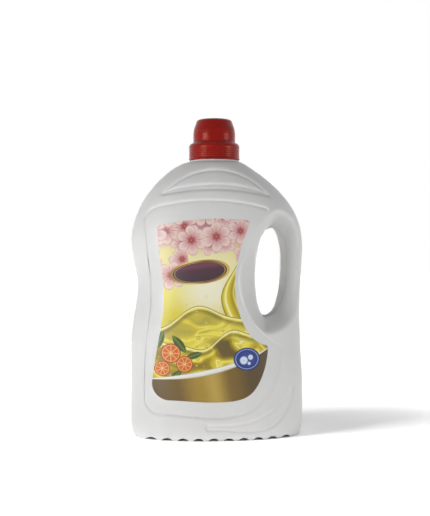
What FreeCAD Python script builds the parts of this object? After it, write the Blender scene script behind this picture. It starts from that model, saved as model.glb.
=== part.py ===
"""Laundry detergent bottle with a pass-through side handle, a pouring insert and a dosing cap.

The frame: X to the right with the handle, Y away from the front label, Z up from the table.
The origin is under the middle of the body. The neck stands a little to the left of it.
The bottle is blow-moulded in one piece, so its skin is lofted once, and every recess,
handle wall and inner surface is worked out from that same skin.
"""
import FreeCAD
import Part
import math
import os

V = FreeCAD.Vector

# Body
BODY_HALF_WIDTH = 87.3
BODY_HALF_DEPTH = 54.0
SHOULDER_TOP = 275.3
OVAL_POWER = 2.2
WALL = 1.8
WAIST_Z = 153.0
WAIST_IN = 6.5
WAIST_FADE_UP = 44.0
WAIST_FADE_DOWN = 58.0
GRIP_WAIST_Z = 124.0
GRIP_WAIST_IN = 3.0
GRIP_WAIST_FADE = 75.0
LEFT_SHOULDER_Z = 195.0
RIGHT_SHOULDER_Z = 190.0
FRONT_SHOULDER_Z = 205.0

# Foot
FOOT_HEIGHT = 20.0
FOOT_TUCK = 5.0
FOOT_RIM = 5.0
PUSH_UP = 4.0
FLUTE_COUNT = 10
FLUTE_PITCH = 14.85
FLUTE_CHORD = 11.0
FLUTE_HEIGHT = 2.9

# Handle
GRIP_WIDTH = 21.9
HOLE_WIDTH = 27.1
HOLE_BOTTOM = 120.7
HOLE_TOP = 209.5
WEB_WIDTH = 6.6
WEB_THICK = 4.0
FLARE_MARGIN = 4.0
FLARE_LEFT_SHARE = 0.51
FLARE_RIGHT = 50.0
FLARE_DOWN = 15.5
FLARE_UP = 22.5
HANDLE_ROUND = 4.0

# Recesses of the front and the back
PANEL_DEPTH = 0.8
BROW_DEPTH = 0.35
BROW_GROOVE_DEPTH = 1.2
HEEL_DEPTH = 0.7

# Neck
NECK_X = -3.0
NECK_RADIUS = 23.1
NECK_WALL = 1.5
NECK_HEIGHT = 15.7
COLLAR_RADIUS = 25.4
COLLAR_HEIGHT = 1.9
COLLAR_BLEND = 1.7
SHOULDER_LEDGE = 2.8

# Pouring insert
FLANGE_THICK = 1.2
SLEEVE_GAP = 0.05
SLEEVE_WALL = 1.0
TROUGH_DEPTH = 12.0
TROUGH_TILT = 6.0
SPOUT_RADIUS = 12.5
SPOUT_WALL = 1.2
SPOUT_RISE = 13.8
SPOUT_LIP_SLOPE = 14.0
DRAIN_SLOT = 6.0

# Dosing cap
SKIRT_RADIUS = 25.7
SKIRT_WALL = 1.4
SKIRT_TOP_ROUND = 4.4
SKIRT_LIP = 0.4
CHANNEL_CHAMFER = 0.9
SKIRT_FOOT_GAP = 0.4
SEAL_THICK = 1.0
SEAL_MARGIN = 0.5
CUP_RADIUS = 21.3
CUP_SHOULDER_RADIUS = 18.3
CUP_TOP_RADIUS = 14.2
CUP_PLUG_GAP = 0.3
CUP_PLUG_WALL = 1.3
CUP_PLUG_DEPTH = 7.0
CUP_SIDE = 9.5
CUP_TAPER = 11.7
CUP_CROWN = 3.6
CUP_DOME = 0.4
DOME_WALL = 1.6

# Label
LABEL_THICK = 0.25
GLUE_LINE = 0.05

# Worked out from the sizes above
HOLE_RIGHT = BODY_HALF_WIDTH - GRIP_WIDTH
HOLE_LEFT = HOLE_RIGHT - HOLE_WIDTH
FLARE_LEFT = FLARE_LEFT_SHARE * HOLE_LEFT
FLARE_DEPTH = BODY_HALF_DEPTH - FLARE_MARGIN
NECK_TOP = SHOULDER_TOP + NECK_HEIGHT
BORE_RADIUS = NECK_RADIUS - NECK_WALL
FLANGE_TOP = NECK_TOP + FLANGE_THICK
BEYOND = 2.0 * BODY_HALF_DEPTH
FLOOR_Z = PUSH_UP + WALL
SECTION_POINTS = 20
FOOT_SHARES = (0.0, 0.1, 0.25, 0.5, 1.0)
BODY_SHARES = (0.16, 0.31, 0.41, 0.52, 0.63, 0.71, 0.78, 0.855, 0.91, 0.957, 0.986, 1.0)
CAVITY_SHARES = (0.0, 0.25, 0.4, 0.52, 0.64, 0.75, 0.85, 0.92, 0.97, 1.0)


def bump(z, middle, up, down):
    """A smooth hump of height 1 at middle that fades out over up and down."""
    reach = up if z > middle else down
    share = (z - middle) / reach
    return math.cos(math.pi / 2 * share) ** 2 if abs(share) < 1 else 0.0


def rise(z, start, power, bend):
    """How far the shoulder has closed in at z: 0 at start, 1 where the neck begins."""
    if z <= start:
        return 0.0
    share = min(1.0, (z - start) / (SHOULDER_TOP - start))
    return 1 - max(0.0, 1 - share ** power) ** (1 / bend)


def tuck(z):
    """How far the rounded foot draws in at z."""
    if z >= FOOT_HEIGHT:
        return 0.0
    share = (FOOT_HEIGHT - z) / FOOT_HEIGHT
    return FOOT_TUCK * (1 - math.sqrt(1 - 0.98 * share * share))


def left_reach(z):
    """Half width of the skin on the plain side."""
    side = BODY_HALF_WIDTH - WAIST_IN * bump(z, WAIST_Z, WAIST_FADE_UP, WAIST_FADE_DOWN)
    end = COLLAR_RADIUS + SHOULDER_LEDGE - NECK_X
    return side + (end - side) * rise(z, LEFT_SHOULDER_Z, 1.9, 1.35) - tuck(z)


def right_reach(z):
    """Half width of the skin on the handle side."""
    side = BODY_HALF_WIDTH - GRIP_WAIST_IN * bump(z, GRIP_WAIST_Z, GRIP_WAIST_FADE, GRIP_WAIST_FADE)
    end = COLLAR_RADIUS + SHOULDER_LEDGE + NECK_X
    return side + (end - side) * rise(z, RIGHT_SHOULDER_Z, 2.3, 1.0) - tuck(z)


def half_depth(z):
    """Half depth of the skin, the same at the front and the back."""
    end = COLLAR_RADIUS + SHOULDER_LEDGE
    return BODY_HALF_DEPTH + (end - BODY_HALF_DEPTH) * rise(z, FRONT_SHOULDER_Z, 2.0, 1.5) - tuck(z)


def signed_power(value, power):
    return math.copysign(abs(value) ** power, value)


def closed_curve(points):
    """A smooth closed wire with evenly shared parameters, so that lofts stay light."""
    count = len(points)
    curve = Part.BSplineCurve()
    curve.interpolate(Points=points, PeriodicFlag=True, Parameters=[i / count for i in range(count + 1)])
    return Part.Wire([curve.toShape()])


def skin_section(z, inset=0.0, lift=0.0):
    """The plan outline at height z, drawn in by inset and taken from lift higher up."""
    level = min(z + lift, SHOULDER_TOP)
    left = left_reach(level) - inset
    right = right_reach(level) - inset
    depth = half_depth(level) - inset
    share = max(0.0, min(1.0, (level - RIGHT_SHOULDER_Z) / (SHOULDER_TOP - RIGHT_SHOULDER_Z)))
    centre = NECK_X * share * share
    power = 2 / (OVAL_POWER + (2.0 - OVAL_POWER) * share)
    points = []
    for i in range(SECTION_POINTS):
        angle = math.pi + 2 * math.pi * i / SECTION_POINTS
        across = right - centre if math.cos(angle) > 0 else left + centre
        x = centre + across * signed_power(math.cos(angle), power)
        y = depth * signed_power(math.sin(angle), power)
        points.append(V(x, y, z))
    return closed_curve(points)


def skin(inset=0.0):
    """The closed body form from the table to the neck, drawn in by inset."""
    levels = [FOOT_HEIGHT * share for share in FOOT_SHARES]
    levels += [FOOT_HEIGHT + (SHOULDER_TOP - FOOT_HEIGHT) * share for share in BODY_SHARES]
    return Part.makeLoft([skin_section(z, inset) for z in levels], True, False)


def handle_section(y, grow=0.0):
    """The egg-shaped outline of the handle opening in the plane at y, made larger by grow."""
    share = (abs(y) + grow) / FLARE_DEPTH
    left = HOLE_LEFT - grow - FLARE_LEFT * share ** 2.2
    right = HOLE_RIGHT + WEB_WIDTH + grow + FLARE_RIGHT * math.sin(math.pi / 2 * min(share ** 1.4, 1.0)) ** 2
    bottom = HOLE_BOTTOM - WEB_WIDTH / 3 - grow - FLARE_DOWN * share ** 2
    top = HOLE_TOP + WEB_WIDTH / 3 + grow + FLARE_UP * share ** 1.8
    right += FLARE_RIGHT * max(0.0, share - 1.0)
    return egg(y, left, right, bottom, top, min(share, 1.0))


def egg(y, left, right, bottom, top, flare=0.0):
    """A leaning egg in the plane at y. With flare its upper left side is drawn straighter."""
    width = HOLE_RIGHT - HOLE_LEFT
    height = HOLE_TOP - HOLE_BOTTOM
    top_x = HOLE_LEFT + (0.65 + 0.2 * flare) * width
    bottom_x = HOLE_LEFT + 0.38 * width
    left_z = HOLE_BOTTOM + 0.42 * height
    right_z = HOLE_BOTTOM + 0.645 * height
    points = []
    count = 16
    for i in range(count):
        angle = math.pi + 2 * math.pi * i / count
        corner = math.cos(angle) < 0 and math.sin(angle) > 0
        power = 0.95 + (0.35 * flare if corner else 0.0)
        across = signed_power(math.cos(angle), power)
        upward = signed_power(math.sin(angle), power)
        middle_x = bottom_x + (top_x - bottom_x) * (upward + 1) / 2
        middle_z = left_z + (right_z - left_z) * (across + 1) / 2
        x = middle_x + (right - middle_x if across > 0 else middle_x - left) * across
        z = middle_z + (top - middle_z if upward > 0 else middle_z - bottom) * upward
        points.append(V(x, y, z))
    return closed_curve(points)


def web():
    """The thin pinched wall in the middle plane that trims the opening to its egg shape."""
    edge = WEB_THICK / 2
    hole = Part.Face(egg(-edge, HOLE_LEFT, HOLE_RIGHT, HOLE_BOTTOM, HOLE_TOP))
    reach = WEB_WIDTH / 3 + WALL / 2
    right = HOLE_RIGHT + WEB_WIDTH + WALL / 2
    sheet = Part.Face(egg(-edge, HOLE_LEFT - WALL / 2, right, HOLE_BOTTOM - reach, HOLE_TOP + reach))
    return sheet.cut(hole).extrude(V(0, WEB_THICK, 0))


def handle_tool(grow=0.0, ruled=False):
    """The waisted space through the body that leaves the grip standing."""
    shares = (0.0, 0.24, 0.38, 0.5, 0.66, 0.84, 1.0, 1.2)
    places = [FLARE_DEPTH * share for share in shares]
    places = [-y for y in reversed(places[1:])] + places
    return Part.makeLoft([handle_section(y, grow) for y in places], True, ruled)


def spot(across, up):
    """A point of a front outline, in shares of the half width and of the shoulder's height."""
    return V(across * BODY_HALF_WIDTH, 0, up * SHOULDER_TOP)


def spline(shares):
    """A smooth edge of a front outline through points given in shares."""
    curve = Part.BSplineCurve()
    curve.interpolate(Points=[spot(across, up) for across, up in shares])
    return curve.toShape()


def prism(edges, rounds=()):
    """A prism along Y over a closed outline, with its corner edges rounded in the order given."""
    face = Part.Face(Part.Wire(edges))
    solid = face.extrude(V(0, 2 * BEYOND, 0))
    solid.translate(V(0, -BEYOND, 0))
    for edge, radius in zip(edges, rounds):
        corner = edge.valueAt(edge.FirstParameter)
        if radius == 0:
            continue
        for side in solid.Edges:
            box = side.BoundBox
            upright = box.YLength > BEYOND and box.XLength < 0.01 and box.ZLength < 0.01
            if upright and abs(box.XMin - corner.x) < 0.01 and abs(box.ZMin - corner.z) < 0.01:
                solid = solid.makeFillet(radius, [side])
                break
    return solid


def panel_prism():
    """The outline of the label panel."""
    top_left = (-0.865, 0.821)
    top_right = (0.515, 0.826)
    low_right = (0.659, 0.334)
    low_left = (-0.871, 0.089)
    top = spline([top_left, (-0.550, 0.845), (-0.156, 0.854), (0.229, 0.844), top_right])
    right = spline([top_right, (0.309, 0.705), (0.151, 0.581), (0.223, 0.476), (0.384, 0.396), low_right])
    bottom = spline([low_right, (0.584, 0.200), (0.401, 0.124), (0.069, 0.085), (-0.344, 0.087), low_left])
    left = spline([low_left, (-0.876, 0.218), (-0.850, 0.363), (-0.800, 0.527), (-0.838, 0.654), top_left])
    return prism([top, right, bottom, left], (14.0, 3.0, 5.0, 15.0))


def label_prism():
    """The outline of the label, a few millimetres inside the panel."""
    top_left = (-0.750, 0.768)
    top_right = (0.315, 0.786)
    low_right = (0.511, 0.341)
    low_left = (-0.813, 0.136)
    top = spline([top_left, (-0.321, 0.788), top_right])
    right = spline([top_right, (0.192, 0.679), (0.124, 0.567), (0.189, 0.440), (0.349, 0.361), low_right])
    bottom = spline([low_right, (0.435, 0.222), (0.275, 0.156), (0.046, 0.137), (-0.344, 0.138), low_left])
    left = spline([low_left, (-0.790, 0.254), (-0.716, 0.396), (-0.683, 0.530), (-0.722, 0.647), top_left])
    return prism([top, right, bottom, left], (3.5, 3.5, 4.0, 17.0))


def brow_prism():
    """The lens of the brow, a crescent high on the shoulder."""
    tip_left = spot(-0.653, 0.884)
    tip_right = spot(0.515, 0.879)
    upper = Part.Arc(tip_left, spot(-0.080, 0.964), tip_right).toShape()
    lower = Part.Arc(tip_right, spot(-0.092, 0.911), tip_left).toShape()
    return prism([upper, lower])


def brow_groove_prism():
    """The groove that undercuts the brow and closes round both its tips."""
    tip_left = spot(-0.682, 0.877)
    tip_right = spot(0.544, 0.872)
    edge_left = spot(-0.653, 0.888)
    edge_right = spot(0.515, 0.883)
    upper = Part.Arc(edge_left, spot(-0.092, 0.911), edge_right).toShape()
    right = Part.makeLine(edge_right, tip_right)
    lower = Part.Arc(tip_right, spot(-0.092, 0.895), tip_left).toShape()
    left = Part.makeLine(tip_left, edge_left)
    return prism([upper, right, lower, left])


def heel_prism():
    """The swept recess at the low corner under the handle, blunt at its left end."""
    low_left = (-0.206, 0.036)
    high_left = (-0.206, 0.059)
    tip = (0.825, 0.182)
    outer = spline([low_left, (0.160, 0.033), (0.550, 0.044), (0.762, 0.109), tip])
    inner = spline([tip, (0.653, 0.125), (0.458, 0.085), (0.206, 0.061), high_left])
    end = Part.makeLine(spot(*high_left), spot(*low_left))
    return prism([outer, inner, end], (2.6, 0.0, 2.6))


def recess(outline, depth):
    """What a recess of this outline takes from the front and the back."""
    return outline.cut(skin(depth))


def foot_tools():
    """The push-up under the bottle and the flutes that cross its rim."""
    low = skin_section(0.0, FOOT_RIM)
    low.translate(V(0, 0, -1))
    pocket = Part.makeLoft([low, skin_section(0.0, 2 * FOOT_RIM).translated(V(0, 0, PUSH_UP))], True, True)
    radius = (FLUTE_CHORD ** 2 / 4 + FLUTE_HEIGHT ** 2) / (2 * FLUTE_HEIGHT)
    tools = [pocket]
    for i in range(FLUTE_COUNT):
        x = NECK_X + (i - (FLUTE_COUNT - 1) / 2) * FLUTE_PITCH
        tools.append(Part.makeCylinder(radius, 2 * BEYOND, V(x, -BEYOND, FLUTE_HEIGHT - radius), V(0, 1, 0)))
    return tools


def cavity():
    """The room inside the body, which runs all round the handle opening."""
    top = SHOULDER_TOP - WALL
    levels = [FLOOR_Z + (top - FLOOR_Z) * share for share in CAVITY_SHARES]
    sections = []
    for z in levels:
        lift = WALL * max(0.0, min(1.0, (z - WAIST_Z) / (RIGHT_SHOULDER_Z - WAIST_Z)))
        sections.append(skin_section(z, WALL, lift))
    room = Part.makeLoft(sections, True, True)
    return room.cut(handle_tool(WALL, True))


def rim_edges(body):
    """The two closed edges where the handle opening meets the front and the back."""
    found = []
    for edge in body.Edges:
        box = edge.BoundBox
        if edge.Closed and box.ZLength > HOLE_TOP - HOLE_BOTTOM and abs(box.Center.y) > 1:
            found.append(edge)
    return found


def bottle():
    """The blow-moulded bottle: skin, handle, recesses, foot, neck and room inside."""
    body = skin().cut(handle_tool())
    body = body.makeFillet(HANDLE_ROUND, rim_edges(body))
    root = SHOULDER_TOP - COLLAR_HEIGHT
    collar = Part.makeCylinder(COLLAR_RADIUS, 2 * COLLAR_HEIGHT, V(NECK_X, 0, root))
    body = body.fuse(collar)
    corner = [e for e in body.Edges if e.Closed and abs(e.BoundBox.ZMax - SHOULDER_TOP) < 0.01
              and abs(e.BoundBox.YLength - 2 * COLLAR_RADIUS) < 0.1]
    body = body.makeFillet(COLLAR_BLEND, corner)
    body = body.fuse([Part.makeCylinder(NECK_RADIUS, NECK_TOP - root, V(NECK_X, 0, root)), web()])
    tools = [recess(panel_prism(), PANEL_DEPTH), recess(brow_prism(), BROW_DEPTH)]
    tools += [recess(brow_groove_prism(), BROW_GROOVE_DEPTH), recess(heel_prism(), HEEL_DEPTH)]
    tools += foot_tools()
    tools.append(cavity())
    bore_start = SHOULDER_TOP - 2 * WALL
    tools.append(Part.makeCylinder(BORE_RADIUS, NECK_TOP - bore_start + 1, V(NECK_X, 0, bore_start)))
    return body.cut(tools).Solids[0]


def front_label():
    """The printed label, which lies on the floor of the front panel."""
    inner = PANEL_DEPTH - GLUE_LINE
    sheet = label_prism().common(skin(inner - LABEL_THICK)).cut(skin(inner))
    return min(sheet.Solids, key=lambda solid: solid.CenterOfMass.y)


def turned(points):
    """A solid of revolution about the neck axis from an outline of (radius, z).

    An entry of four numbers is an arc through its first pair to its second.
    """
    edges = []
    start = points[0]
    for point in points[1:] + points[:1]:
        a = V(start[-2], 0, start[-1])
        b = V(point[-2], 0, point[-1])
        if len(point) == 4:
            edges.append(Part.Arc(a, V(point[0], 0, point[1]), b).toShape())
        else:
            edges.append(Part.makeLine(a, b))
        start = point
    solid = Part.Face(Part.Wire(edges)).revolve(V(0, 0, 0), V(0, 0, 1), 360)
    solid.translate(V(NECK_X, 0, 0))
    return solid


def pouring_insert():
    """The insert pressed into the neck: flange, sleeve, sloping trough and slotted spout."""
    outer = BORE_RADIUS - SLEEVE_GAP
    inner = outer - SLEEVE_WALL
    flange = NECK_RADIUS - SLEEVE_GAP
    trough = FLANGE_TOP - TROUGH_DEPTH
    drop = math.tan(math.radians(TROUGH_TILT)) * outer
    low = trough - drop
    spout_top = FLANGE_TOP + SPOUT_RISE
    shell = turned([(inner, FLANGE_TOP), (flange, FLANGE_TOP), (flange, NECK_TOP), (outer, NECK_TOP),
                    (outer, low), (inner, low)])
    slab = Part.makeBox(4 * outer, 4 * outer, SLEEVE_WALL, V(-2 * outer, -2 * outer, -SLEEVE_WALL))
    slab.rotate(V(0, 0, 0), V(0, 1, 0), TROUGH_TILT)
    slab.translate(V(NECK_X, 0, trough + SLEEVE_WALL))
    column = Part.makeCylinder(outer - SLEEVE_WALL / 2, 2 * TROUGH_DEPTH, V(NECK_X, 0, trough - TROUGH_DEPTH))
    spout = Part.makeCylinder(SPOUT_RADIUS, spout_top - low, V(NECK_X, 0, low))
    body = shell.fuse([slab.common(column), spout])
    way = Part.makeCylinder(SPOUT_RADIUS - SPOUT_WALL, 2 * (spout_top - low), V(NECK_X, 0, low - SPOUT_RISE))
    slope = math.radians(SPOUT_LIP_SLOPE)
    trim = Part.makeBox(8 * SPOUT_RADIUS, 4 * SPOUT_RADIUS, 2 * SPOUT_RISE, V(0, -2 * SPOUT_RADIUS, 0))
    trim.rotate(V(0, 0, 0), V(0, 1, 0), SPOUT_LIP_SLOPE)
    trim.translate(V(NECK_X - SPOUT_RADIUS * math.cos(slope), 0, spout_top))
    slot_foot = trough + SLEEVE_WALL - math.tan(math.radians(TROUGH_TILT)) * SPOUT_RADIUS
    slot = Part.makeBox(SPOUT_RADIUS + SPOUT_WALL, DRAIN_SLOT, 2 * spout_top, V(NECK_X, -DRAIN_SLOT / 2, slot_foot))
    return body.cut([way, trim, slot]).Solids[0]


def dosing_cap():
    """The two-tier cap: outer skirt, ledge, and the measuring cup that plugs into the insert."""
    foot = SHOULDER_TOP + COLLAR_HEIGHT + SKIRT_FOOT_GAP
    channel = FLANGE_TOP + SEAL_THICK
    ledge = channel + DOME_WALL
    skirt_in = SKIRT_RADIUS - SKIRT_WALL
    bend = SKIRT_TOP_ROUND * math.sqrt(0.5)
    middle = V(SKIRT_RADIUS - SKIRT_TOP_ROUND, 0, ledge - SKIRT_TOP_ROUND)
    plug_out = BORE_RADIUS - SLEEVE_GAP - SLEEVE_WALL - CUP_PLUG_GAP
    plug_in = plug_out - CUP_PLUG_WALL
    side_top = ledge + CUP_SIDE
    taper_top = side_top + CUP_TAPER
    top = taper_top + CUP_CROWN
    round_over = (CUP_SHOULDER_RADIUS - CUP_TOP_RADIUS) * 0.3
    swell = (CUP_RADIUS - CUP_SHOULDER_RADIUS) * 0.2
    half_taper = (CUP_RADIUS + CUP_SHOULDER_RADIUS) / 2 + swell
    return turned([
        (0.0, top + CUP_DOME),
        (CUP_TOP_RADIUS / 2, top + 0.75 * CUP_DOME, CUP_TOP_RADIUS, top),
        (CUP_SHOULDER_RADIUS - round_over, top - CUP_CROWN * 0.3, CUP_SHOULDER_RADIUS, taper_top),
        (half_taper, side_top + CUP_TAPER / 2, CUP_RADIUS, side_top),
        (CUP_RADIUS, ledge),
        (middle.x + bend, middle.z + bend, SKIRT_RADIUS, middle.z),
        (SKIRT_RADIUS, foot + 2 * SKIRT_LIP),
        (SKIRT_RADIUS + SKIRT_LIP, foot + SKIRT_LIP),
        (SKIRT_RADIUS + SKIRT_LIP, foot),
        (skirt_in, foot),
        (skirt_in, channel - SKIRT_WALL),
        (skirt_in - CHANNEL_CHAMFER, channel),
        (plug_out, channel),
        (plug_out, FLANGE_TOP - CUP_PLUG_DEPTH),
        (plug_in, FLANGE_TOP - CUP_PLUG_DEPTH),
        (plug_in, side_top),
        (half_taper - DOME_WALL, side_top + CUP_TAPER / 2, CUP_SHOULDER_RADIUS - DOME_WALL, taper_top),
        (CUP_TOP_RADIUS, top - DOME_WALL),
        (0.0, top - DOME_WALL + 0.75 * CUP_DOME),
    ])


def cap_seal():
    """The flat foam ring in the cap's channel, pressed on the insert's flange."""
    inner = BORE_RADIUS - SLEEVE_GAP - SLEEVE_WALL - CUP_PLUG_GAP + SEAL_MARGIN
    outer = SKIRT_RADIUS - SKIRT_WALL - CHANNEL_CHAMFER - SEAL_MARGIN / 2
    top = FLANGE_TOP + SEAL_THICK
    return turned([(inner, FLANGE_TOP), (outer, FLANGE_TOP), (outer, top), (inner, top)])


PIECES = {
    "bottle": bottle,
    "pouring_insert": pouring_insert,
    "dosing_cap": dosing_cap,
    "cap_seal": cap_seal,
    "front_label": front_label,
}

os.makedirs("parts", exist_ok=True)
for name, make in PIECES.items():
    make().exportStep("parts/" + name + ".step")
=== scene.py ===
"""Looks for a laundry detergent bottle: moulded body, printed film, dosing cap, pouring insert.

Every piece is in metres and in the frame of the solids: X towards the handle, Y to the back,
Z up from the table. Lengths that are named in millimetres are turned to metres by MM.
"""
import logging
import math
from collections.abc import Iterable
from dataclasses import dataclass, field
from enum import Enum

import bpy
import numpy as np
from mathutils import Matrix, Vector
from mathutils.kdtree import KDTree


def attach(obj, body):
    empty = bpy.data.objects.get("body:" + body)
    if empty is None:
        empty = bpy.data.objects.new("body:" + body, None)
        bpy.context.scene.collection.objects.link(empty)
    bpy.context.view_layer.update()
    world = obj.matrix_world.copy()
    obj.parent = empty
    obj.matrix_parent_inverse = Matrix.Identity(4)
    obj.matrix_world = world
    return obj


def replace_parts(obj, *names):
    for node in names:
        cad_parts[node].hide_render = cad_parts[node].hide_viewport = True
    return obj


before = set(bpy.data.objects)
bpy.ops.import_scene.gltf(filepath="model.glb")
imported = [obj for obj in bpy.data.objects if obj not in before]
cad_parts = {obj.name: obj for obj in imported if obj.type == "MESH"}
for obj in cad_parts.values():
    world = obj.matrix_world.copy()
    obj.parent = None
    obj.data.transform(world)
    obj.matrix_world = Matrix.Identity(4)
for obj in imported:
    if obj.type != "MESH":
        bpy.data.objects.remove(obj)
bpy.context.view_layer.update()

log = logging.getLogger("bottle")
MM = 0.001
NECK_X = -3.0
PICTURE = (430, 516)


class Ride(Enum):
    """The bodies that pieces move with."""

    BOTTLE = "bottle_body"
    SEAL = "seal_body"
    CAP = "cap_body"


class Slot(Enum):
    """The record's material slots."""

    BOTTLE = "bottle_white"
    INSERT = "insert_white"
    CAP = "cap_red"
    SEAL = "seal_foam"
    LABEL = "label_film"


def ink(red: int, green: int, blue: int) -> tuple[float, float, float, float]:
    """A printed colour, given as it looks on screen.

    Args:
        red: red share from 0 to 255.
        green: green share from 0 to 255.
        blue: blue share from 0 to 255.

    Returns:
        The colour in linear light with full cover.
    """
    parts = [value / 255 for value in (red, green, blue)]
    linear = [p / 12.92 if p <= 0.04045 else ((p + 0.055) / 1.055) ** 2.4 for p in parts]
    return (linear[0], linear[1], linear[2], 1.0)


def deselect() -> None:
    """Leaves object mode with nothing selected."""
    if bpy.context.object and bpy.context.object.mode != "OBJECT":
        bpy.ops.object.mode_set(mode="OBJECT")
    bpy.ops.object.select_all(action="DESELECT")


def activate(piece: bpy.types.Object) -> None:
    """Makes the piece the only selected and active one."""
    deselect()
    piece.select_set(True)
    bpy.context.view_layer.objects.active = piece


def settle(piece: bpy.types.Object) -> None:
    """Puts the piece's place, turn and scale into its mesh."""
    activate(piece)
    bpy.ops.object.transform_apply(location=True, rotation=True, scale=True)


def smooth(piece: bpy.types.Object, degrees: float) -> None:
    """Shades the piece smooth but for edges that are sharper than the angle."""
    activate(piece)
    bpy.ops.object.shade_smooth_by_angle(angle=math.radians(degrees))


def merged_copy(node: str, name: str) -> bpy.types.Object:
    """A copy of a solid's mesh with its loose triangles joined.

    Args:
        node: the solid's name.
        name: the new piece's name.

    Returns:
        The new piece.
    """
    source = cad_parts[node]
    piece = bpy.data.objects.new(name, source.data.copy())
    piece.data.name = name
    bpy.context.scene.collection.objects.link(piece)
    activate(piece)
    bpy.ops.object.mode_set(mode="EDIT")
    bpy.ops.mesh.select_all(action="SELECT")
    bpy.ops.mesh.customdata_custom_splitnormals_clear()
    bpy.ops.mesh.mark_sharp(clear=True)
    bpy.ops.mesh.remove_doubles(threshold=0.002 * MM)
    bpy.ops.object.mode_set(mode="OBJECT")
    return piece


def finish_piece(
    piece: bpy.types.Object, ride: Ride, slot: Slot, *materials: bpy.types.Material
) -> bpy.types.Object:
    """Gives a piece its materials and its body.

    Args:
        piece: the finished mesh object.
        ride: the body it moves with.
        slot: not used.
        materials: one material for each slot of the mesh.

    Returns:
        The same piece.
    """
    piece.data.materials.clear()
    for material in materials:
        piece.data.materials.append(material)
    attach(piece, ride.value)
    return piece


def corners(piece: bpy.types.Object) -> np.ndarray:
    """The piece's vertices as an array of rows."""
    places = np.zeros(len(piece.data.vertices) * 3)
    piece.data.vertices.foreach_get("co", places)
    return places.reshape(-1, 3)


def edge_ends(piece: bpy.types.Object) -> np.ndarray:
    """The two vertex numbers of each edge as an array of rows."""
    ends = np.zeros(len(piece.data.edges) * 2, dtype=int)
    piece.data.edges.foreach_get("vertices", ends)
    return ends.reshape(-1, 2)


def pick(piece: bpy.types.Object, kind: str, numbers: Iterable[int]) -> None:
    """Enters edit mode with only some vertices or edges selected.

    Args:
        piece: the mesh object.
        kind: VERT or EDGE.
        numbers: the numbers of those to be selected.
    """
    activate(piece)
    bpy.ops.object.mode_set(mode="EDIT")
    bpy.ops.mesh.select_mode(type=kind)
    bpy.ops.mesh.select_all(action="DESELECT")
    bpy.ops.object.mode_set(mode="OBJECT")
    parts = piece.data.vertices if kind == "VERT" else piece.data.edges
    for index in numbers:
        parts[index].select = True
    bpy.ops.object.mode_set(mode="EDIT")


def halve(piece: bpy.types.Object, edges: Iterable[int]) -> None:
    """Cuts these edges in half and leaves triangles."""
    pick(piece, "EDGE", edges)
    bpy.ops.mesh.subdivide(number_cuts=1)
    bpy.ops.mesh.select_all(action="SELECT")
    bpy.ops.mesh.quads_convert_to_tris(quad_method="SHORTEST_DIAGONAL", ngon_method="BEAUTY")
    bpy.ops.object.mode_set(mode="OBJECT")


def ease(piece: bpy.types.Object, vertices: Iterable[int], rounds: int) -> None:
    """Draws these vertices towards their neighbours a number of times."""
    pick(piece, "VERT", vertices)
    bpy.ops.mesh.vertices_smooth(factor=0.5, repeat=rounds)
    bpy.ops.object.mode_set(mode="OBJECT")


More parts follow.
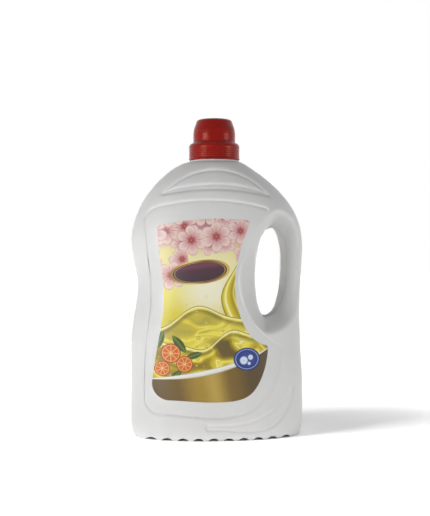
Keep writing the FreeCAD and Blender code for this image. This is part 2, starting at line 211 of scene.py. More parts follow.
class Graph:
    """Adds and links the nodes of one material."""

    def __init__(self, name: str) -> None:
        """Makes the material with a shader and its output.

        Args:
            name: the material's name.
        """
        self.material = bpy.data.materials.new(name)
        self.material.use_nodes = True
        self.tree = self.material.node_tree
        self.tree.nodes.clear()
        output = self.node("ShaderNodeOutputMaterial")
        self.shader = self.node("ShaderNodeBsdfPrincipled")
        self.tree.links.new(self.shader.outputs[0], output.inputs["Surface"])
        self.place = self.node("ShaderNodeTexCoord").outputs["Object"]

    def node(self, kind: str, **settings: object) -> bpy.types.Node:
        """A new node with its properties set."""
        made = self.tree.nodes.new(kind)
        for key, value in settings.items():
            setattr(made, key, value)
        return made

    def put(self, target: bpy.types.NodeSocket, value: object) -> None:
        """Links a socket to the target, or sets a plain value on it."""
        if isinstance(value, bpy.types.NodeSocket):
            self.tree.links.new(value, target)
        else:
            target.default_value = value

    def math(self, operation: str, *values: object) -> bpy.types.NodeSocket:
        """The result of one sum on numbers or sockets."""
        made = self.node("ShaderNodeMath", operation=operation)
        for target, value in zip(made.inputs, values):
            self.put(target, value)
        return made.outputs[0]

    def vector(self, operation: str, *values: object) -> bpy.types.NodeSocket:
        """The result of one vector sum, a number for a length."""
        made = self.node("ShaderNodeVectorMath", operation=operation)
        for target, value in zip(made.inputs, values):
            self.put(target, value)
        return made.outputs["Value" if operation in ("LENGTH", "DISTANCE", "DOT_PRODUCT") else "Vector"]

    def scale(self, value: bpy.types.NodeSocket, factor: float) -> bpy.types.NodeSocket:
        """A vector made longer by a factor."""
        return self.vector("MULTIPLY", value, (factor, factor, factor))

    def warp(self, place: bpy.types.NodeSocket, scale: float, reach: float) -> bpy.types.NodeSocket:
        """A place moved by soft noise, to bend what is drawn there."""
        made = self.node("ShaderNodeTexNoise")
        self.put(made.inputs["Vector"], place)
        made.inputs["Scale"].default_value = scale
        shift = self.vector("SUBTRACT", made.outputs["Color"], (0.5, 0.5, 0.5))
        return self.vector("ADD", place, self.scale(shift, reach))

    def split(self, value: bpy.types.NodeSocket) -> list[bpy.types.NodeSocket]:
        """The three parts of a vector."""
        made = self.node("ShaderNodeSeparateXYZ")
        self.put(made.inputs[0], value)
        return list(made.outputs)

    def join(self, *values: object) -> bpy.types.NodeSocket:
        """A vector of up to three parts."""
        made = self.node("ShaderNodeCombineXYZ")
        for target, value in zip(made.inputs, values):
            self.put(target, value)
        return made.outputs[0]

    def step(self, value: object, low: float, high: float, smallest: float = 0.0, largest: float = 1.0):
        """A soft step from smallest at low to largest at high.

        Args:
            value: the socket that is read.
            low: where the step begins.
            high: where it ends; it may be under low.
            smallest: the result at low.
            largest: the result at high.

        Returns:
            The socket of the result.
        """
        made = self.node("ShaderNodeMapRange", interpolation_type="SMOOTHSTEP")
        for target, number in zip(made.inputs, (value, low, high, smallest, largest)):
            self.put(target, number)
        return made.outputs[0]

    def ramp(self, value: object, stops: list[tuple[float, tuple]]) -> bpy.types.NodeSocket:
        """Colours along a value.

        Args:
            value: the socket that is read, from 0 to 1.
            stops: pairs of place and colour.

        Returns:
            The colour's socket.
        """
        made = self.node("ShaderNodeValToRGB")
        line = made.color_ramp
        line.interpolation = "EASE"
        while len(line.elements) < len(stops):
            line.elements.new(1.0)
        for element, (place, colour) in zip(line.elements, stops):
            element.position = place
            element.color = colour
        self.put(made.inputs[0], value)
        return made.outputs[0]

    def over(self, share: object, under: object, above: object) -> bpy.types.NodeSocket:
        """One colour laid over another by a share."""
        made = self.node("ShaderNodeMix", data_type="RGBA")
        self.put(made.inputs["Factor"], share)
        self.put(made.inputs[6], under)
        self.put(made.inputs[7], above)
        return made.outputs[2]

    def noise(self, place: object, scale: float, detail: float = 2.0, rough: float = 0.5, twist: float = 0.0):
        """Soft noise from 0 to 1 at a scale in waves for each unit, swirled by its twist."""
        made = self.node("ShaderNodeTexNoise")
        self.put(made.inputs["Vector"], place)
        made.inputs["Scale"].default_value = scale
        made.inputs["Detail"].default_value = detail
        made.inputs["Roughness"].default_value = rough
        made.inputs["Distortion"].default_value = twist
        return made.outputs[0]

    def cells(self, place: object, scale: float, spread: float = 1.0, flat: bool = False) -> bpy.types.Node:
        """A cell pattern, in the plane or in space."""
        made = self.node("ShaderNodeTexVoronoi", voronoi_dimensions="2D" if flat else "3D")
        self.put(made.inputs["Vector"], place)
        made.inputs["Scale"].default_value = scale
        made.inputs["Randomness"].default_value = spread
        return made

    def bump(self, *heights: tuple[object, float]) -> None:
        """Sends heights, each with its depth in metres, to the shader's normal."""
        normal = None
        for height, depth in heights:
            made = self.node("ShaderNodeBump")
            made.inputs["Strength"].default_value = 1.0
            made.inputs["Distance"].default_value = depth
            self.put(made.inputs["Height"], height)
            if normal is not None:
                self.put(made.inputs["Normal"], normal)
            normal = made.outputs[0]
        self.put(self.shader.inputs["Normal"], normal)

    def set(self, **values: object) -> None:
        """Sets the shader's own sockets, with underscores for the spaces of their names."""
        for key, value in values.items():
            self.put(self.shader.inputs[key.replace("_", " ")], value)


@dataclass(frozen=True)
class SatinPolyethylene:
    """Satin blow-moulded polyethylene with a fine skin, a parting line and a scuffed foot."""

    pale: tuple = (0.845, 0.842, 0.835, 1.0)
    shade: tuple = (0.815, 0.813, 0.807, 1.0)
    scuff: tuple = (0.70, 0.70, 0.69, 1.0)

    def material(self) -> bpy.types.Material:
        """Builds the material.

        Returns:
            The finished material.
        """
        g = Graph("bottle_polyethylene")
        cloud = g.noise(g.place, 14.0, 3.0)
        grain = g.noise(g.place, 2600.0, 2.0, 0.6)
        sway = g.noise(g.place, 38.0, 1.0)
        across, deep, up = g.split(g.place)
        foot = g.math("MULTIPLY", g.step(up, 3.5 * MM, 0.6 * MM), g.step(g.noise(g.place, 420.0, 4.0), 0.42, 0.62))
        colour = g.over(g.step(cloud, 0.35, 0.65), self.shade, self.pale)
        g.put(g.shader.inputs["Base Color"], g.over(g.math("MULTIPLY", foot, 0.6), colour, self.scuff))
        rough = g.step(g.noise(g.place, 90.0, 4.0, 0.6), 0.3, 0.7, 0.37, 0.46)
        g.put(g.shader.inputs["Roughness"], g.math("ADD", rough, g.math("MULTIPLY", foot, 0.2)))
        seam = g.step(g.math("ABSOLUTE", deep), 0.42 * MM, 0.12 * MM)
        seam = g.math("MULTIPLY", seam, g.step(up, 273 * MM, 271 * MM))
        g.bump((sway, 0.22 * MM), (grain, 0.012 * MM), (seam, 0.16 * MM))
        g.set(Subsurface_Weight=0.08, Subsurface_Scale=0.003, Specular_IOR_Level=0.34, IOR=1.5)
        g.shader.inputs["Subsurface Radius"].default_value = (1.0, 0.9, 0.8)
        return g.material


@dataclass(frozen=True)
class GlossyRed:
    """Glossy moulded polypropylene in a deep red."""

    deep: tuple = (0.27, 0.001, 0.001, 1.0)
    warm: tuple = (0.31, 0.003, 0.001, 1.0)
    gleam: tuple = (1.0, 0.42, 0.32, 1.0)

    def material(self) -> bpy.types.Material:
        """Builds the material.

        Returns:
            The finished material.
        """
        g = Graph("cap_polypropylene")
        across, deep, up = g.split(g.place)
        flow = g.noise(g.vector("MULTIPLY", g.place, (1.0, 1.0, 3.0)), 60.0, 2.0)
        g.put(g.shader.inputs["Base Color"], g.over(g.step(flow, 0.35, 0.65), self.deep, self.warm))
        wear = g.noise(g.vector("MULTIPLY", g.place, (1.0, 1.0, 0.2)), 700.0, 3.0)
        g.put(g.shader.inputs["Roughness"], g.step(wear, 0.3, 0.75, 0.22, 0.30))
        g.bump((flow, 0.04 * MM), (wear, 0.003 * MM))
        g.set(Specular_IOR_Level=0.42, Specular_Tint=self.gleam, IOR=1.5)
        return g.material


@dataclass(frozen=True)
class NaturalMoulding:
    """Uncoloured injection moulding, a little see-through at its thin walls."""

    milk: tuple = (0.86, 0.86, 0.84, 1.0)
    cool: tuple = (0.80, 0.815, 0.81, 1.0)

    def material(self) -> bpy.types.Material:
        """Builds the material.

        Returns:
            The finished material.
        """
        g = Graph("insert_polypropylene")
        flow = g.noise(g.place, 110.0, 3.0)
        g.put(g.shader.inputs["Base Color"], g.over(g.step(flow, 0.3, 0.7), self.cool, self.milk))
        g.put(g.shader.inputs["Roughness"], g.step(g.noise(g.place, 700.0, 3.0), 0.3, 0.7, 0.24, 0.36))
        g.bump((flow, 0.06 * MM), (g.noise(g.place, 2400.0), 0.006 * MM))
        g.set(Subsurface_Weight=0.3, Subsurface_Scale=0.003, IOR=1.49)
        return g.material


@dataclass(frozen=True)
class ClosedCellFoam:
    """Closed-cell foam with small cut cells, whose hollows are painted darker as shade."""

    skin: tuple = (0.86, 0.86, 0.83, 1.0)
    cell_hollow_shade: tuple = (0.70, 0.70, 0.67, 1.0)

    def material(self) -> bpy.types.Material:
        """Builds the material.

        Returns:
            The finished material.
        """
        g = Graph("seal_foam_cells")
        cells = g.cells(g.place, 2600.0).outputs["Distance"]
        # painted shade: the middle of each cut cell, where the bump sinks, is coloured darker
        g.put(g.shader.inputs["Base Color"], g.ramp(cells, [(0.05, self.cell_hollow_shade), (0.45, self.skin)]))
        g.put(g.shader.inputs["Roughness"], g.step(g.noise(g.place, 900.0), 0.3, 0.7, 0.72, 0.86))
        g.bump((cells, 0.09 * MM), (g.noise(g.place, 400.0, 3.0), 0.05 * MM))
        g.set(Subsurface_Weight=0.15, Subsurface_Scale=0.001)
        return g.material


@dataclass(frozen=True)
class PrintedFilm:
    """Glossy printed film: rosettes over a yellow glow, gold waves, a brown band and blank badges.

    All its places and lengths are in millimetres on the front, as pairs of X and Z.
    """

    margin: float = 1.0
    glow: tuple[float, float] = (-15.0, 150.0)
    banner: tuple[float, float] = (-24.0, 165.0)
    badge: tuple[float, float] = (22.0, 80.0)
    slices: tuple = ((-52.0, 86.0, 9.5), (-39.0, 75.5, 8.0), (-60.0, 71.0, 7.5))
    leaves: tuple = ((-44.0, 95.0, 11.0, 0.9), (-30.0, 84.0, 9.0, -0.3), (-62.0, 99.0, 10.0, 1.9), (-47.0, 65.0, 8.0, -0.7))

    def ground(self, g: Graph, page: bpy.types.NodeSocket, up: bpy.types.NodeSocket):
        """The ground colour, from brown below over yellow to pink above, with a pale glow in the middle."""
        drift = g.math("ADD", up, g.math("MULTIPLY_ADD", g.noise(page, 0.022, 2.0), 26.0, -13.0))
        share = g.math("DIVIDE", g.math("SUBTRACT", drift, 45.0), 172.0)
        colour = g.ramp(share, [
            (0.05, ink(104, 80, 20)), (0.24, ink(178, 156, 20)), (0.42, ink(224, 208, 46)),
            (0.60, ink(238, 228, 92)), (0.78, ink(246, 236, 168)), (0.90, ink(214, 158, 158)),
            (1.0, ink(188, 122, 130)),
        ])
        far = g.vector("DISTANCE", page, (self.glow[0], self.glow[1], 0.0))
        return g.over(g.step(far, 44.0, 6.0, 0.0, 0.9), colour, ink(254, 250, 226))

    def blossoms(self, g: Graph, page, under, size: float, shift: tuple[float, float, float], low: float):
        """A scatter of rosettes round the bare middle of the label.

        Args:
            g: the material's graph.
            page: the place on the label.
            under: the colour below.
            size: the spacing of the rosettes.
            shift: moves the scatter, so that layers differ.
            low: the lowest height of a rosette's centre.

        Returns:
            The colour's socket.
        """
        moved = g.vector("ADD", page, shift)
        cells = g.cells(moved, 1 / size, 0.7, True)
        centre = cells.outputs["Position"]
        local = g.vector("SUBTRACT", moved, centre)
        side, high, _ = g.split(local)
        chance, other, _ = g.split(cells.outputs["Color"])
        angle = g.math("ADD", g.math("ARCTAN2", high, side), g.math("MULTIPLY", chance, 6.28))
        petal = g.math("POWER", g.math("ABSOLUTE", g.math("COSINE", g.math("MULTIPLY", angle, 3.0))), 0.55)
        reach = g.math("MULTIPLY", g.math("MULTIPLY_ADD", petal, 0.5, 0.5), g.math("MULTIPLY_ADD", other, 0.12 * size, 0.46 * size))
        far = g.vector("LENGTH", local)
        share = g.math("DIVIDE", far, reach)
        vein = g.math("MULTIPLY_ADD", g.math("SINE", g.math("MULTIPLY", angle, 42.0)), 0.03, 0.0)
        colour = g.ramp(g.math("ADD", share, vein), [
            (0.0, ink(222, 184, 100)), (0.08, ink(140, 40, 50)), (0.2, ink(190, 96, 104)),
            (0.42, ink(226, 176, 172)), (0.85, ink(243, 218, 210)), (1.0, ink(204, 150, 148)),
        ])
        colour = g.over(g.step(petal, 0.6, 0.2, 0.0, 0.6), colour, ink(162, 88, 96))
        home = g.vector("SUBTRACT", centre, shift)
        x, z, _ = g.split(home)
        ring = g.math("ADD", g.math("POWER", g.math("ABSOLUTE", g.math("DIVIDE", g.math("ADD", x, 16.0), 37.0)), 2.0),
                      g.math("POWER", g.math("ABSOLUTE", g.math("DIVIDE", g.math("SUBTRACT", z, 140.0), 49.0)), 2.0))
        shown = g.math("MULTIPLY", g.step(ring, 0.98, 1.02), g.step(z, low - 0.1, low + 0.1))
        return g.over(g.math("MULTIPLY", shown, g.step(share, 1.0, 0.93)), under, colour)

    def liquid(self, g: Graph, page: bpy.types.NodeSocket) -> bpy.types.NodeSocket:
        """The swirled gold of the liquid."""
        swirl = g.noise(g.vector("MULTIPLY", g.warp(page, 0.026, 30.0), (0.55, 1.25, 1.0)), 0.05, 1.0, 0.4, 0.7)
        gold = g.ramp(swirl, [
            (0.28, ink(96, 78, 4)), (0.42, ink(164, 138, 8)), (0.50, ink(216, 194, 26)),
            (0.58, ink(246, 232, 84)), (0.66, ink(206, 182, 18)), (0.78, ink(128, 106, 6)),
        ])
        line = g.step(g.math("ABSOLUTE", g.math("SUBTRACT", swirl, 0.545)), 0.010, 0.0, 0.0, 0.8)
        return g.over(line, gold, ink(255, 250, 190))

    def waves(self, g: Graph, page, across, up, under):
        """Gold liquid that pours into two layers of waves, with its bubbles."""
        gold = self.liquid(g, page)
        pale = g.over(0.45, gold, ink(244, 230, 96))
        bend = g.math("MULTIPLY", g.math("SINE", g.math("DIVIDE", up, 13.0)), 6.5)
        side = g.math("SUBTRACT", g.math("SUBTRACT", across, 10.0), bend)
        half = g.step(up, 118.0, 188.0, 9.5, 1.2)
        share = g.math("DIVIDE", side, half)
        pour = g.ramp(g.math("MULTIPLY_ADD", share, 0.5, 0.5), [
            (0.0, ink(120, 98, 6)), (0.16, ink(226, 206, 40)), (0.30, ink(255, 248, 170)), (0.44, ink(222, 200, 34)),
            (0.74, ink(176, 150, 12)), (0.88, ink(240, 226, 90)), (1.0, ink(110, 88, 4)),
        ])
        shown = g.math("MULTIPLY", g.step(g.math("ABSOLUTE", share), 1.0, 0.94), g.step(up, 190.0, 184.0))
        colour = g.over(shown, under, pour)
        for level, swing, length, turn, paint in ((119.0, 11.0, 21.0, 2.4, pale), (99.0, 9.0, 16.0, 0.5, gold)):
            crest = g.math("SINE", g.math("ADD", g.math("DIVIDE", across, length), turn))
            ripple = g.math("SINE", g.math("ADD", g.math("DIVIDE", across, length * 0.43), 2 * turn))
            top = g.math("MULTIPLY_ADD", crest, swing, g.math("MULTIPLY_ADD", ripple, swing * 0.3, level))
            depth = g.math("SUBTRACT", top, up)
            shade = g.math("MULTIPLY", g.step(depth, 2.8, 4.2), g.step(depth, 9.5, 4.6))
            lit = g.over(g.math("MULTIPLY", g.step(depth, 3.8, 1.6), 0.85), paint, ink(255, 247, 168))
            lit = g.over(g.math("MULTIPLY", shade, 0.65), lit, ink(104, 84, 4))
            lit = g.over(g.step(depth, 0.9, 0.4), lit, ink(142, 118, 10))
            colour = g.over(g.step(depth, -0.25, 0.25), colour, lit)
        return self.bubbles(g, page, up, colour)

    def bubbles(self, g: Graph, page, up, under):
        """Small clear bubbles over the liquid."""
        cells = g.cells(page, 1 / 8.5, 1.0, True)
        chance, other, _ = g.split(cells.outputs["Color"])
        size = g.math("MULTIPLY_ADD", g.math("POWER", chance, 3.0), 1.9, 0.35)
        share = g.math("DIVIDE", g.vector("DISTANCE", page, cells.outputs["Position"]), size)
        shown = g.math("MULTIPLY", g.step(other, 0.4, 0.42), g.step(up, 150.0, 120.0))
        inside = g.math("MULTIPLY", g.step(share, 1.0, 0.86), shown)
        ball = g.ramp(share, [
            (0.0, ink(255, 252, 210)), (0.35, ink(232, 214, 80)), (0.8, ink(164, 140, 20)), (1.0, ink(250, 240, 150)),
        ])
        return g.over(g.math("MULTIPLY", inside, 0.85), under, ball)

    def fruit(self, g: Graph, page, under):
        """Leaves, and cut round slices over them."""
        colour = under
        for x, z, length, turn in self.leaves:
            local = g.node("ShaderNodeVectorRotate", rotation_type="Z_AXIS")
            g.put(local.inputs["Vector"], g.vector("SUBTRACT", page, (x, z, 0.0)))
            local.inputs["Angle"].default_value = turn
            along, side, _ = g.split(local.outputs[0])
            half = g.math("MULTIPLY", g.math("SUBTRACT", 1.0, g.math("POWER", g.math("ABSOLUTE", g.math("DIVIDE", along, length)), 2.0)), 0.36 * length)
            side = g.math("ABSOLUTE", side)
            leaf = g.ramp(g.math("DIVIDE", side, 0.4 * length), [(0.0, ink(150, 168, 70)), (0.08, ink(70, 98, 26)), (0.7, ink(40, 66, 18)), (1.0, ink(78, 104, 34))])
            colour = g.over(g.step(g.math("SUBTRACT", half, side), -0.2, 0.3), colour, leaf)
        for x, z, radius in self.slices:
            local = g.vector("SUBTRACT", page, (x, z, 0.0))
            side, high, _ = g.split(local)
            share = g.math("DIVIDE", g.vector("LENGTH", local), radius)
            angle = g.math("MULTIPLY_ADD", g.math("ARCTAN2", high, side), 4.0, radius)
            gap = g.step(g.math("MULTIPLY", g.math("ABSOLUTE", g.math("SINE", angle)), share), 0.10, 0.2)
            flesh = g.ramp(share, [(0.0, ink(236, 190, 110)), (0.15, ink(214, 112, 26)), (0.75, ink(222, 96, 22)), (0.82, ink(238, 190, 120)), (0.9, ink(206, 84, 16)), (1.0, ink(140, 52, 10))])
            cut = g.math("MULTIPLY", g.math("SUBTRACT", 1.0, gap), g.step(share, 0.84, 0.78))
            flesh = g.over(cut, flesh, ink(240, 196, 126))
            colour = g.over(g.step(share, 1.02, 0.97), colour, flesh)
        return colour

    def band(self, g: Graph, page, across, up, under):
        """The brown and gold band below, with a silver sweep over it."""
        share = g.math("DIVIDE", g.math("ADD", across, 71.0), 115.0)
        edge = g.math("MULTIPLY_ADD", g.math("POWER", share, 2.6), 30.0, 60.0)
        above = g.math("SUBTRACT", up, edge)
        width = g.math("MULTIPLY_ADD", g.math("SINE", g.math("MULTIPLY", share, 3.14)), 5.0, 0.9)
        silver = g.ramp(g.math("DIVIDE", above, width), [(0.0, ink(150, 140, 112)), (0.25, ink(236, 234, 222)), (0.75, ink(250, 250, 244)), (1.0, ink(190, 184, 158))])
        colour = g.over(g.math("MULTIPLY", g.step(above, -0.2, 0.2), g.step(g.math("SUBTRACT", above, width), 0.3, -0.3)), under, silver)
        brushed = g.noise(g.vector("MULTIPLY", page, (1.0, 0.05, 1.0)), 1.2, 2.0)
        sweep = g.math("ADD", share, g.math("MULTIPLY_ADD", brushed, 0.06, g.math("MULTIPLY", up, 0.0016)))
        metal = g.ramp(sweep, [
            (0.10, ink(84, 60, 6)), (0.32, ink(108, 82, 12)), (0.52, ink(168, 136, 44)), (0.64, ink(190, 160, 70)),
            (0.80, ink(118, 90, 14)), (1.0, ink(78, 56, 4)),
        ])
        return g.over(g.step(above, 0.2, -0.2), colour, metal)

    def badges(self, g: Graph, page, under):
        """A blank plum banner with a gold rim, and a blue badge with bubbles."""
        local = g.node("ShaderNodeVectorRotate", rotation_type="Z_AXIS")
        g.put(local.inputs["Vector"], g.vector("SUBTRACT", page, (*self.banner, 0.0)))
        local.inputs["Angle"].default_value = -0.12
        along, side, _ = g.split(local.outputs[0])
        lens = g.math("ADD", g.math("POWER", g.math("ABSOLUTE", g.math("DIVIDE", along, 29.0)), 2.4), g.math("POWER", g.math("ABSOLUTE", g.math("DIVIDE", side, 11.5)), 2.0))
        plum = g.ramp(g.math("MULTIPLY_ADD", side, 0.04, 0.5), [(0.0, ink(36, 10, 22)), (0.55, ink(62, 22, 40)), (0.75, ink(104, 52, 72)), (1.0, ink(56, 20, 36))])
        gold = g.ramp(g.math("MULTIPLY_ADD", along, 0.016, 0.5), [(0.0, ink(140, 100, 26)), (0.35, ink(238, 210, 120)), (0.6, ink(168, 126, 40)), (1.0, ink(224, 190, 96))])
        colour = g.over(g.step(lens, 1.03, 0.98), under, gold)
        colour = g.over(g.step(lens, 0.80, 0.76), colour, plum)
        line = g.math("MULTIPLY", g.step(lens, 0.62, 0.64), g.step(lens, 0.70, 0.68))
        colour = g.over(g.math("MULTIPLY", line, 0.7), colour, gold)
        far = g.vector("LENGTH", g.vector("MULTIPLY", g.vector("SUBTRACT", page, (*self.badge, 0.0)), (1.0, 1.2, 1.0)))
        blue = g.ramp(g.math("DIVIDE", far, 13.5), [(0.0, ink(44, 84, 176)), (0.78, ink(22, 44, 122)), (0.84, ink(150, 176, 226)), (0.9, ink(22, 44, 122)), (1.0, ink(14, 28, 84))])
        colour = g.over(g.step(far, 13.7, 13.2), colour, blue)
        for x, z, radius in ((-3.2, -1.2, 4.0), (3.6, 1.8, 2.6), (2.2, -4.2, 1.6)):
            spot = g.vector("DISTANCE", page, (self.badge[0] + x, self.badge[1] + z, 0.0))
            bead = g.ramp(g.math("DIVIDE", spot, radius), [(0.0, ink(200, 218, 244)), (0.6, ink(236, 242, 252)), (1.0, ink(176, 200, 236))])
            colour = g.over(g.step(spot, radius + 0.2, radius - 0.2), colour, bead)
        return colour

    def material(self) -> bpy.types.Material:
        """Builds the printed front.

        Returns:
            The finished material, which reads the attribute edge for its white margin.
        """
        g = Graph("label_print")
        across, _, up = g.split(g.scale(g.place, 1 / MM))
        page = g.join(across, up, 0.0)
        colour = self.ground(g, page, up)
        colour = self.blossoms(g, page, colour, 24.0, (7.0, 3.0, 0.0), 126.0)
        colour = self.blossoms(g, page, colour, 27.0, (13.0, 47.0, 0.0), 180.0)
        colour = self.blossoms(g, page, colour, 31.0, (41.0, 90.0, 0.0), 150.0)
        colour = self.waves(g, page, across, up, colour)
        colour = self.fruit(g, page, colour)
        colour = self.band(g, page, across, up, colour)
        colour = self.badges(g, page, colour)
        edge = g.node("ShaderNodeAttribute", attribute_type="GEOMETRY", attribute_name="edge")
        rim = g.step(edge.outputs["Fac"], self.margin + 0.1, self.margin - 0.1)
        g.put(g.shader.inputs["Base Color"], g.over(rim, colour, ink(232, 232, 230)))
        g.put(g.shader.inputs["Roughness"], g.step(g.noise(g.place, 240.0, 3.0), 0.3, 0.7, 0.30, 0.42))
        g.bump((g.noise(g.place, 55.0, 2.0), 0.05 * MM), (g.noise(g.place, 1800.0), 0.004 * MM))
        g.set(Coat_Weight=0.12, Coat_Roughness=0.2)
        return g.material


@dataclass
class BottleBody:
    """The blow-moulded body with softened recesses, and the thread on its neck."""

    fine_reach: float = 2.5
    fine_edge: float = 1.3
    soft_reach: float = 1.7
    rounds: int = 3
    crease_width: float = 1.35
    panel_crease: float = 0.75
    brow_crease: float = 1.2
    brow_rounds: int = 4
    brow_depth: float = 0.35
    sliver: tuple[float, float, float, float] = (-8.5, -3.2, 250.77, 45.75)
    brow_foot: float = 241.0
    thread_radius: float = 23.1
    thread_proud: float = 1.0
    thread_start: float = 281.0
    thread_turns: float = 1.35
    pitch: float = 6.0

    def outer_faces(self, piece: bpy.types.Object) -> set[int]:
        """The faces of the outside, found by walking from the widest one and stopping at the neck's top.

        Args:
            piece: the joined mesh of the body.

        Returns:
            The numbers of the faces.
        """
        mesh = piece.data
        top = max(v.co.z for v in mesh.vertices) - 0.05 * MM
        blocked = {p.index for p in mesh.polygons if all(mesh.vertices[v].co.z > top for v in p.vertices)}
        by_edge: dict[tuple[int, int], list[int]] = {}
        for face in mesh.polygons:
            if face.index not in blocked:
                for key in face.edge_keys:
                    by_edge.setdefault(key, []).append(face.index)
        start = min((p for p in mesh.polygons if p.index not in blocked), key=lambda p: p.center.x).index
        found = {start}
        waiting = [start]
        while waiting:
            for key in mesh.polygons[waiting.pop()].edge_keys:
                for other in by_edge.get(key, ()):
                    if other not in found:
                        found.add(other)
                        waiting.append(other)
        return found

    def crisp_points(self, piece: bpy.types.Object, outer: set[int]) -> KDTree:
        """Points along the sharp edges of the recesses, on the outside only.

        Args:
            piece: the joined mesh of the body.
            outer: the numbers of its outer faces.

        Returns:
            The points, ready to be searched.
        """
        mesh = piece.data
        by_edge: dict[tuple[int, int], list[int]] = {}
        for index in outer:
            for key in mesh.polygons[index].edge_keys:
                by_edge.setdefault(key, []).append(index)
        points = []
        for (a, b), faces in by_edge.items():
            if len(faces) != 2:
                continue
            first, second = mesh.vertices[a].co, mesh.vertices[b].co
            middle = (first + second) / 2
            recess = abs(middle.y) > 15 * MM and 6.5 * MM < middle.z < 268 * MM
            if not recess or mesh.polygons[faces[0]].normal.dot(mesh.polygons[faces[1]].normal) > 0.8:
                continue
            count = max(1, int((second - first).length / (0.5 * MM)))
            points += [first.lerp(second, i / count) for i in range(count + 1)]
        tree = KDTree(len(points))
        for index, point in enumerate(points):
            tree.insert(point, index)
        tree.balance()
        log.info("recess edges: %d points", len(points))
        return tree

    def soften(self, piece: bpy.types.Object) -> None:
        """Divides the mesh along the recess edges and rounds them, as blown plastic rounds them."""
        tree = self.crisp_points(piece, self.outer_faces(piece))
        for _ in range(6):
            places, ends = corners(piece), edge_ends(piece)
            lengths = np.linalg.norm(places[ends[:, 0]] - places[ends[:, 1]], axis=1)
            middles = (places[ends[:, 0]] + places[ends[:, 1]]) / 2
            picked = []
            for index in np.nonzero(lengths > self.fine_edge * MM)[0]:
                if tree.find(middles[index])[2] < self.fine_reach * MM + lengths[index] * 0.2:
                    picked.append(index)
            if not picked:
                break
            halve(piece, picked)
        outer = self.outer_faces(piece)
        near = set()
        for index in outer:
            near.update(piece.data.polygons[index].vertices)
        ease(piece, [v for v in near if tree.find(piece.data.vertices[v].co)[2] < self.soft_reach * MM], self.rounds)
        self.crease(piece, tree, near)

    def crease(self, piece: bpy.types.Object, tree: KDTree, outer: set[int]) -> None:
        """Sinks a shallow rounded line along the recess edges, deepest on the brow.

        Args:
            piece: the body.
            tree: points along the recess edges.
            outer: the vertices of the outside.
        """
        moves = {}
        for index in outer:
            vertex = piece.data.vertices[index]
            gap = tree.find(vertex.co)[2] / MM
            if gap < 3 * self.crease_width:
                depth = self.brow_crease if vertex.co.z > self.brow_foot * MM else self.panel_crease
                moves[index] = vertex.normal * depth * MM * math.exp(-((gap / self.crease_width) ** 2))
        for index, move in moves.items():
            piece.data.vertices[index].co -= move
        ease(piece, moves, 2)
        ease(piece, [v for v in moves if piece.data.vertices[v].co.z > self.brow_foot * MM], self.brow_rounds)

    def sink_sliver(self, piece: bpy.types.Object) -> None:
        """Sinks the sliver of skin that stands between the brow's floor and its groove."""
        left, right, level, skin = (length * MM for length in self.sliver)
        near = [
            vertex for vertex in piece.data.vertices
            if left < vertex.co.x < right and abs(vertex.co.z - level) < 0.1 * MM and abs(vertex.co.y) > 0.95 * skin
        ]
        for vertex in near:
            if abs(vertex.co.y) > skin:
                vertex.co.y -= math.copysign(self.brow_depth * MM, vertex.co.y)
        log.info("sliver beside the brow: %d points", len(near))
        pick(piece, "VERT", [vertex.index for vertex in near])
        bpy.ops.mesh.remove_doubles(threshold=0.1 * MM)
        bpy.ops.object.mode_set(mode="OBJECT")

    def shell(self, material: bpy.types.Material) -> bpy.types.Object:
        """The body itself.

        Args:
            material: the body's plastic.

        Returns:
            The finished piece.
        """
        piece = merged_copy("bottle", "body_shell")
        self.sink_sliver(piece)
        self.soften(piece)
        smooth(piece, 32)
        finish_piece(piece, Ride.BOTTLE, Slot.BOTTLE, material)
        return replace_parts(piece, "bottle")

    def thread(self, material: bpy.types.Material) -> bpy.types.Object:
        """The raised thread on the neck.

        Args:
            material: the body's plastic.

        Returns:
            The finished piece.
        """
        piece = helix("neck_thread", self.thread_radius, self.thread_proud, self.thread_start, self.thread_turns, self.pitch)
        return finish_piece(piece, Ride.BOTTLE, Slot.BOTTLE, material)


